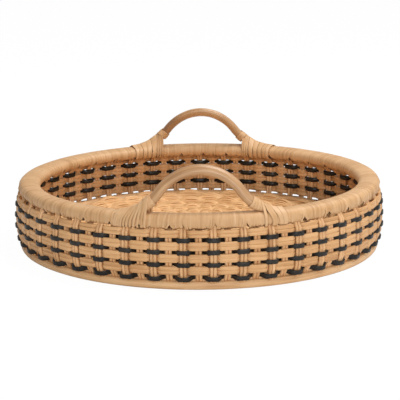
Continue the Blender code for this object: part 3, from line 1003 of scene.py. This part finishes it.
def hull(discs: Sequence[Disc], stations: int, start: float) -> tuple[Array, Array]:
    """Taut line round some discs, as evenly spaced points and outward directions.

    Args:
        discs: Across, height and radius of each disc.
        stations: How many points are wanted, with the last on the first.
        start: Angle at which the line starts.

    Returns:
        Points and outward directions.
    """
    angles = start + np.linspace(0.0, math.tau, HULL_AIMS)
    aims = np.stack([np.cos(angles), np.sin(angles)], axis=-1)
    reach = np.array([[x, z] for x, z, _ in discs]) @ aims.T + np.array([[r] for _, _, r in discs])
    best = np.argmax(reach, axis=0)
    centres = np.array([[discs[b][0], discs[b][1]] for b in best])
    points = centres + aims * np.array([[discs[b][2]] for b in best])
    lengths = np.concatenate([[0.0], np.cumsum(np.linalg.norm(np.diff(points, axis=0), axis=1))])
    lengths += np.arange(len(lengths)) * 1e-9
    wanted = np.linspace(0.0, lengths[-1], stations)
    line = np.stack([np.interp(wanted, lengths, points[:, axis]) for axis in (0, 1)], axis=-1)
    along = np.gradient(line, axis=0)
    along[0] = along[-1] = line[1] - line[-2]
    out = np.stack([along[:, 1], -along[:, 0]], axis=-1)
    return line, out / np.linalg.norm(out, axis=1, keepdims=True)


@dataclass
class Rim:
    """Two poles side by side, bound with turns of peel that pass down between the stakes."""

    pole_offset: float = 0.0066
    pole_radius: float = 0.0058
    crown_radius: float = 0.0072
    side_radius: float = 0.0070
    inner_disc: Disc = (-0.0066, -0.0006, 0.0065)
    skirt_disc: Disc = (0.0125, -0.0062, 0.0013)
    short_disc: Disc = (0.0104, -0.0020, 0.0013)
    hull_levels: int = 9
    peel_thickness: float = 0.0009
    turns_per_gap: int = 7
    stations: int = 29
    ridge: float = 0.0011
    ridge_width: float = 0.0050
    parting: float = 0.0043
    parting_width: float = 0.0092
    parting_spread: tuple[float, float] = (0.85, 1.1)
    bare_left: float = 0.70
    bare_right: float = 0.60
    bare_right_share: float = 0.5
    fan_start: tuple[float, float] = (0.0010, 0.0040)
    fan_run: float = 0.0042
    fan_taper: float = 0.30
    half_share: float = 0.62
    width_spread: float = 0.08
    jitter: float = 0.00032
    jitter_above: float = 0.35
    ridge_fade: tuple[float, float] = (-0.0040, 0.0015)
    lift_spread: float = 0.00012
    overlap: float = 0.0003
    sag: float = 0.0006
    sag_fade: tuple[float, float] = (0.0030, 0.0078)
    single_tint: float = 0.22
    drift_tint: float = 0.18
    core_discs: tuple[Disc, ...] = field(init=False)

    def __post_init__(self) -> None:
        """Work out the section that the peel is bound on."""
        self.core_discs = (self.inner_disc, (0.0, 0.0, self.crown_radius),
                           (self.pole_offset, 0.0, self.side_radius), self.skirt_disc)

    def place_pole(self, offset: float, spots: Spots) -> Array:
        """Place the points of a rim pole.

        Args:
            offset: Distance from the rim's middle line.
            spots: Where its points sit.

        Returns:
            The points.
        """
        _, along, side, out = spots
        return FORM.turn(FORM.ring(along), FORM.rim_radius + offset + side * self.pole_radius,
                         FORM.rim_level + out * self.pole_radius)

    def sections(self) -> tuple[Array, Array]:
        """Sections of the wrap, from the full one to the one without a skirt.

        Returns:
            Points and outward directions, for each level.
        """
        full, short = np.array(self.skirt_disc), np.array(self.short_disc)
        skirts = (tuple(full + (short - full) * share) for share in np.linspace(0.0, 1.0, self.hull_levels))
        hulls = [hull((*self.core_discs[:3], skirt), self.stations, -math.pi / 2) for skirt in skirts]
        return np.stack([line for line, _ in hulls]), np.stack([normal for _, normal in hulls])

    def place_turns(self, spots: Spots) -> Array:
        """Place the points of the peel turns.

        Args:
            spots: Where the points sit.

        Returns:
            The points.
        """
        copy, along, side, out = spots
        rng = np.random.default_rng(44)
        count = FORM.pairs * self.turns_per_gap
        station = np.round(along * (self.stations - 1)).astype(int)
        azimuth = FORM.first_angle + (copy + 0.5) / count * math.tau
        left = np.exp(-((azimuth % math.tau - math.pi) / self.bare_left) ** 2)
        bare = left + self.bare_right_share * np.exp(-(azimuth / self.bare_right) ** 2)
        level = np.round(np.clip(bare, 0.0, 1.0) * (self.hull_levels - 1)).astype(int)
        line, normal = (part[level, station] for part in self.sections())
        pitch = math.tau * FORM.rim_radius / count
        x, z = line[:, 0], line[:, 1]
        outer = x > 0.0
        start = rng.uniform(*self.fan_start, count)[copy]
        low = smooth(-z, start, start + self.fan_run)
        jitter = rng.normal(0.0, self.jitter, (count, self.stations))
        jitter = (jitter + np.roll(jitter, 1, 1) + np.roll(jitter, -1, 1)) / 2
        reach = (copy + 0.5) * pitch
        near = (reach + FORM.pitch) % (2 * FORM.pitch) - FORM.pitch
        share = np.clip(1.0 - np.abs(near) / self.parting_width, 0.0, 1.0)
        parting = rng.uniform(*self.parting_spread, count)[copy]
        parted = np.sign(near) * self.parting * share ** 1.5 * low * parting
        widening = 1.0 + self.width_spread * rng.normal(0.0, 1.0, count)[copy]
        half = pitch * self.half_share * widening * (1.0 - self.fan_taper * low * share)
        wobble = jitter[copy, station] * (self.jitter_above + low)
        sideways = reach + parted + wobble + (along - 0.5) * pitch + side * half
        near = np.abs(near + (along - 0.5) * pitch)
        raised = np.where(outer, smooth(-z, *self.ridge_fade), 0.0)
        ridge = self.ridge * np.exp(-(near / self.ridge_width) ** 4) * raised
        lift = rng.uniform(0.0, self.lift_spread, count)[copy]
        level = out * self.peel_thickness + lift + ridge + self.overlap * low * (copy % 2)
        sag = rng.normal(0.0, self.sag, count)[copy] * smooth(-z, *self.sag_fade) * outer
        angle = FORM.stake_angle(sideways / (math.tau * FORM.rim_radius) * FORM.pairs)
        return FORM.turn(angle, FORM.rim_radius + x + normal[:, 0] * level,
                         FORM.rim_level + z + normal[:, 1] * level - sag)

    def build(self, finishes: Finishes) -> None:
        """Model and dress the poles and the turns of peel.

        Args:
            finishes: The finishes.
        """
        for name, offset in (("inner", -self.pole_offset), ("outer", self.pole_offset)):
            pole = Bench.lay(f"rim_pole_{name}", Profile.ROUND, 4, FORM.rounds, True,
                             partial(self.place_pole, offset), (2 * FORM.pitch, 0.04), np.array([0.5]))
            finishes.dress(pole, Finishes.CORE, f"rim_{name}_pole")
        count = FORM.pairs * self.turns_per_gap
        single = self.single_tint * np.random.default_rng(45).normal(0.0, 1.0, count)
        drift = self.drift_tint * wander(6, np.arange(count) / count, 30, 3)
        turns = Bench.lay("rim_turns", Profile.PEEL, self.stations - 1, count, False, self.place_turns,
                          (0.075, 0.006), np.clip(0.5 + single + drift, 0.0, 1.0))
        finishes.dress(turns, Finishes.PEEL, "rim_wrap")


# The handles


@dataclass(frozen=True)
class Binding:
    """How one foot of a handle is bound: its collar, and its lashing's strips from the collar outwards."""

    SPACING = 0.84

    collar_start: float
    collar_turns: int
    lashing_start: float
    widths: tuple[float, ...]
    slants: tuple[float, ...]

    @property
    def strips(self) -> Array:
        """Distances along the rim of the strips' middles."""
        widths = np.array(self.widths) * self.SPACING
        return self.lashing_start + np.cumsum(widths) - widths / 2


NARROW_STRIPS = (
    (0.0039,) * 11,
    (0.0, 0.0008, 0.0020, 0.0034, 0.0046, 0.0054, 0.0060, 0.0062, 0.0060, 0.0054, 0.0046))
MIXED_STRIPS = (
    (*(0.0038,) * 3, *(0.0086,) * 4, 0.0070),
    (0.0004, 0.0008, 0.0014, 0.0024, 0.0028, 0.0028, 0.0024, 0.0018))
WIDE_STRIPS = (0.0044, 0.0096, 0.0090, 0.0082), (0.0006, 0.0056, 0.0064, 0.0040)


@dataclass
class Handle:
    """One bent pole with flared feet, its collars and the lashings of its feet."""

    name: str
    middle: float
    left: Binding
    right: Binding
    pole_radius: float = 0.0064
    bend_radius: float = 0.0621
    bend_angle: float = math.radians(55.2)
    rise: float = 0.0498
    lean: float = 0.0100
    seat: float = 0.0010
    tip_radius: float = 0.0019
    foot_length: float = 0.0330
    rim_top: float = 0.0086
    stations: int = 97
    foot_offset: float = 0.0040
    collar_width: float = 0.0054
    collar_flare: float = 0.0008
    peel_thickness: float = 0.0010
    collar_pitch: float = 0.0037
    collar_stations: int = 16
    collar_thickness: float = 0.0009
    collar_gap: float = 0.0002
    collar_rest: float = 0.0012
    collar_drift: float = 0.00016
    knot_depth: float = 0.012
    foot_fade: float = 0.022
    foot_steps: int = 60
    lashing_gap: float = 0.0003
    lashing_step: float = 0.0002
    slant_fade: tuple[float, float] = (-0.0160, 0.0050)
    gather: float = 0.28
    lashing_stations: int = 41
    seed: int = 1

    @property
    def flare(self) -> float:
        """Bend radius of a foot."""
        drop = self.bend_radius * (1.0 - math.cos(self.bend_angle))
        return (self.rise - drop) / (1.0 - math.cos(self.bend_angle))

    @property
    def reach(self) -> float:
        """Distance along the rim from the middle to a foot's tip."""
        return (self.bend_radius + self.flare) * math.sin(self.bend_angle)

    def foot_point(self, slope: Array) -> tuple[Array, Array, Array]:
        """Distance along the rim, height over its top and radius of a foot where it has a slope.

        Args:
            slope: Slope of the middle line.

        Returns:
            The distance, the height and the radius.
        """
        along = self.reach - self.flare * np.sin(slope)
        height = self.flare * (1.0 - np.cos(slope))
        taper = np.clip((along - self.reach + self.foot_length) / self.foot_length, 0.0, 1.0)
        return along, height, self.pole_radius - taper * (self.pole_radius - self.tip_radius)

    def line(self, run: Array) -> tuple[Array, Array, Array, Array]:
        """The whole pole's middle line.

        Args:
            run: Share of the way from one foot's tip to the other's.

        Returns:
            Distance along the rim, height over its top, radius and slope.
        """
        bend = self.bend_radius * self.bend_angle
        half = bend + self.flare * self.bend_angle
        length = (run * 2.0 - 1.0) * half
        side, part = np.sign(length), np.abs(length)
        angle = np.minimum(part, bend) / self.bend_radius
        slope = np.clip(self.bend_angle - (part - bend) / self.flare, 0.0, self.bend_angle)
        foot_along, foot_height, foot_radius = self.foot_point(slope)
        arch = part <= bend
        along = np.where(arch, self.bend_radius * np.sin(angle), foot_along)
        height = np.where(arch, self.rise - self.bend_radius * (1.0 - np.cos(angle)), foot_height)
        radius = np.where(arch, self.pole_radius, foot_radius)
        return side * along, height, radius, side * np.where(arch, angle, slope)

    def set_out(self, along: Array, height: Array) -> Array:
        """Points over the rim's middle line, leaning inwards as they rise.

        Args:
            along: Distance along the rim.
            height: Height over its top.

        Returns:
            The points.
        """
        radius = FORM.rim_radius + self.foot_offset - (self.lean + self.foot_offset) * height / self.rise
        angle = self.middle + along / FORM.rim_radius
        return FORM.turn(angle, radius, FORM.rim_level + self.rim_top + height)

    def place_pole(self, spots: Spots) -> Array:
        """Place the points of the bent pole.

        Args:
            spots: Where the points sit.

        Returns:
            The points.
        """
        _, along, side, out = spots
        distance, height, radius, slope = self.line(along)
        knots = 1.0 + self.knot_depth * wander(self.seed, along, 8, 2)
        lift = out * radius * knots
        above = np.maximum(height + lift * np.cos(slope), self.seat)
        placed = self.set_out(distance + lift * np.sin(slope), above)
        away = self.middle + distance / FORM.rim_radius
        offset = side * radius * knots
        placed[:, 0] += np.cos(away) * offset
        placed[:, 1] += np.sin(away) * offset
        return placed

    def place_collar(self, turn_side: float, binding: Binding, spots: Spots) -> Array:
        """Place the points of the peel turns round the pole at one foot.

        Args:
            turn_side: Which foot, as -1 or 1.
            binding: How that foot is bound.
            spots: Where the points sit.

        Returns:
            The points.
        """
        _, along, side, out = spots
        turn = along * binding.collar_turns
        spread = self.collar_drift * wander(self.seed + 7, along, 9, 3)
        run = turn * self.collar_pitch + side * self.collar_width / 2 + spread
        slope = self.bend_angle - (binding.collar_start + run) / self.flare
        distance, height, radius = self.foot_point(slope)
        reach = radius + self.collar_gap + out * self.collar_thickness + self.collar_flare * along
        angle = math.tau * turn
        lift = np.cos(angle) * reach
        under = self.collar_gap + self.collar_rest * (1.0 - out)
        placed = self.set_out(turn_side * (distance + lift * np.sin(slope)),
                              np.maximum(height + lift * np.cos(slope), under))
        away = self.middle + turn_side * distance / FORM.rim_radius
        placed[:, 0] += np.cos(away) * np.sin(angle) * reach
        placed[:, 1] += np.sin(away) * np.sin(angle) * reach
        return placed

    def foot_disc(self, along: float) -> Disc:
        """Across, height and radius of a foot's upright section, at a distance along the rim.

        Args:
            along: Distance along the rim.

        Returns:
            The disc.
        """
        slope = np.linspace(self.bend_angle, 0.0, self.foot_steps)
        middle, height, radius = self.foot_point(slope)
        sides = [float(np.interp(along, middle + sign * radius * np.sin(slope),
                                 height + sign * radius * np.cos(slope))) for sign in (1.0, -1.0)]
        fade = 1.0 - min(1.0, max(0.0, (along - self.reach) / self.foot_fade))
        top, under = sides[0] * fade, max(sides[1], 0.0) * fade
        centre = (top + under) / 2
        across = self.foot_offset - (self.lean + self.foot_offset) * centre / self.rise
        return across, self.rim_top + centre, (top - under) / 2

    def lashing_edge(self, middle: float, width: float, slant: float,
                     rim: Rim) -> tuple[Array, Array, Array]:
        """Line of one edge of a lashing's strip, round the bound rim and the foot.

        Args:
            middle: Distance along the rim of the strip's middle.
            width: Distance from the strip's middle to the edge, with its sign.
            slant: How far the strip moves outwards on its way down.
            rim: The rim that it goes round.

        Returns:
            Distances along the rim, section points and outward directions.
        """
        wrapped = tuple((x, z, r + rim.peel_thickness + self.lashing_gap) for x, z, r in rim.core_discs)
        line, normal = hull((*wrapped, self.foot_disc(middle + width)), self.lashing_stations, -math.pi / 2)
        low = smooth(-line[:, 1], *self.slant_fade)
        return middle + width + (slant - width * self.gather) * low, line, normal

    def place_lashing(self, turn_side: float, binding: Binding, rim: Rim, spots: Spots) -> Array:
        """Place the points of the lashing's strips over one foot.

        Args:
            turn_side: Which foot, as -1 or 1.
            binding: How that foot is bound.
            rim: The rim that they go round.
            spots: Where the points sit.

        Returns:
            The points.
        """
        copy, along, side, out = spots
        strips = list(zip(binding.strips, binding.widths, binding.slants))
        edges = [[self.lashing_edge(middle, edge * width, slant, rim) for middle, width, slant in strips]
                 for edge in (-0.5, 0.5)]
        station = np.round(along * (self.lashing_stations - 1)).astype(int)
        distance, radial, upward = np.zeros((3, len(copy)))
        for part, lines in zip(((1.0 - side) / 2, (1.0 + side) / 2), edges):
            runs, points, normals = (np.stack([line[item] for line in lines]) for item in range(3))
            level = out * self.peel_thickness + self.lashing_step * (copy % 2)
            place_at = points[copy, station] + normals[copy, station] * level[:, None]
            distance += part * runs[copy, station]
            radial += part * place_at[:, 0]
            upward += part * place_at[:, 1]
        angle = self.middle + turn_side * distance / FORM.rim_radius
        return FORM.turn(angle, FORM.rim_radius + radial, FORM.rim_level + upward)

    def build(self, finishes: Finishes, rim: Rim) -> None:
        """Model and dress the pole, its collars and its lashings.

        Args:
            finishes: The finishes.
            rim: The rim that it sits on.
        """
        pole = Bench.lay(f"bent_pole_{self.name}", Profile.POLE, self.stations - 1, 1, False,
                         self.place_pole, (0.24, 0.040), np.array([0.5]))
        finishes.dress(pole, Finishes.POLE, f"handle_{self.name}")
        for hand, side, binding in (("left", -1.0, self.left), ("right", 1.0, self.right)):
            turned = side if self.name == "front" else -side
            collar = Bench.lay(f"collar_peel_{self.name}_{hand}", Profile.PEEL,
                               binding.collar_turns * self.collar_stations, 1, False,
                               partial(self.place_collar, turned, binding), (0.18, 0.006), np.array([0.7]))
            finishes.dress(collar, Finishes.PEEL, f"collar_{self.name}_{hand}")
            turns = len(binding.widths)
            tints = np.random.default_rng(self.seed + 3).uniform(0.3, 1.0, turns)
            lashing = Bench.lay(f"lashing_peel_{self.name}_{hand}", Profile.PEEL, self.lashing_stations - 1,
                                turns, False, partial(self.place_lashing, turned, binding, rim),
                                (0.09, 0.007), tints)
            finishes.dress(lashing, Finishes.PEEL, f"lashing_{self.name}_{hand}")


# The studio


@dataclass
class Studio:
    """Camera, floor and lamps."""

    camera_place: Point = (0.0, -1.96733, 0.50831)
    pitch: float = 0.22579
    yaw: float = 0.00057
    roll: float = -0.00328
    lens: float = 134.57
    sensor: float = 36.0
    world_level: float = 0.42
    aim: Point = (0.0, 0.0, 0.05)
    key_place: Point = (0.8, 0.2, 2.1)
    key_size: float = 1.3
    key_level: float = 41.0
    front_place: Point = (0.5, -2.9, 1.1)
    front_size: float = 1.2
    front_level: float = 36.0
    floor_glow: float = 1.02
    floor_share: float = 0.95

    def camera(self) -> None:
        """Set the camera at the photograph's angle."""
        data = bpy.data.cameras.new("camera")
        data.lens = self.lens
        data.sensor_width = self.sensor
        data.clip_end = 50.0
        piece = bpy.data.objects.new("camera", data)
        bpy.context.scene.collection.objects.link(piece)
        level = math.cos(self.pitch)
        ahead = Vector((math.sin(self.yaw) * level, math.cos(self.yaw) * level, -math.sin(self.pitch)))
        right = ahead.cross(Vector((0.0, 0.0, 1.0))).normalized()
        up = right.cross(ahead)
        turned_right = right * math.cos(self.roll) + up * math.sin(self.roll)
        turned_up = up * math.cos(self.roll) - right * math.sin(self.roll)
        matrix = Matrix((turned_right, turned_up, -ahead)).transposed().to_4x4()
        matrix.translation = Vector(self.camera_place)
        piece.matrix_world = matrix
        bpy.context.scene.camera = piece

    def floor(self) -> None:
        """Lay a pale floor that keeps the object's shadow."""
        Bench.clear()
        bpy.ops.mesh.primitive_plane_add(size=30.0, location=(0.0, 0.0, -0.0002))
        floor = bpy.context.object
        floor.name = "floor"
        paint = bpy.data.materials.new("floor_paint")
        shader = Shader(paint)
        seen = shader.node("ShaderNodeLightPath")[0]
        diffuse = shader.node("ShaderNodeBsdfDiffuse", {}, {"Color": (0.80, 0.80, 0.80)})[0]
        glow = shader.node("ShaderNodeEmission", {}, {"Color": WHITE, "Strength": self.floor_glow})[0]
        lifted = shader.node("ShaderNodeMixShader", {}, {0: seen * self.floor_share, 1: diffuse, 2: glow})[0]
        shader.node("ShaderNodeOutputMaterial", {}, {"Surface": lifted})
        floor.data.materials.append(paint)

    def lamp(self, name: str, place: Point, aim: Point, size: float,
             power: float) -> None:
        """Hang one square lamp.

        Args:
            name: Name of the lamp.
            place: Where it hangs.
            aim: Point that it faces.
            size: Length of its sides.
            power: Its power in watts.
        """
        data = bpy.data.lights.new(name, "AREA")
        data.shape = "SQUARE"
        data.size = size
        data.energy = power
        piece = bpy.data.objects.new(name, data)
        bpy.context.scene.collection.objects.link(piece)
        piece.location = place
        piece.rotation_euler = (Vector(aim) - Vector(place)).to_track_quat("-Z", "Y").to_euler()

    def build(self) -> None:
        """Set up the whole studio."""
        self.camera()
        self.floor()
        self.lamp("key", self.key_place, self.aim, self.key_size, self.key_level)
        self.lamp("front", self.front_place, self.aim, self.front_size, self.front_level)
        world = bpy.data.worlds.new("studio")
        bpy.context.scene.world = world
        shader = Shader(world)
        seen = shader.node("ShaderNodeLightPath")[0]
        soft = shader.node("ShaderNodeBackground", {}, {"Color": WHITE, "Strength": self.world_level})[0]
        white = shader.node("ShaderNodeBackground", {}, {"Color": WHITE})[0]
        mixed = shader.node("ShaderNodeMixShader", {}, {0: seen, 1: soft, 2: white})[0]
        shader.node("ShaderNodeOutputWorld", {}, {"Surface": mixed})
        bpy.context.scene.view_settings.view_transform = "Standard"


def main() -> None:
    """Build the tray and its studio."""
    logging.basicConfig(level=logging.INFO, format="%(message)s", stream=sys.stdout)
    finishes = Finishes()
    Studio().build()
    Wall().build(finishes)
    Base().build(finishes)
    rim = Rim()
    rim.build(finishes)
    front = Binding(0.0110, 3, 0.0617, *NARROW_STRIPS), Binding(0.0170, 4, 0.0733, *WIDE_STRIPS)
    back = Binding(0.0040, 2, 0.0590, *MIXED_STRIPS), Binding(0.0105, 2, 0.0645, *MIXED_STRIPS)
    Handle("front", math.radians(-89.7), *front, seed=11).build(finishes, rim)
    Handle("back", math.radians(89.3), *back, seed=17).build(finishes, rim)


if __name__ == "__main__":
    main()
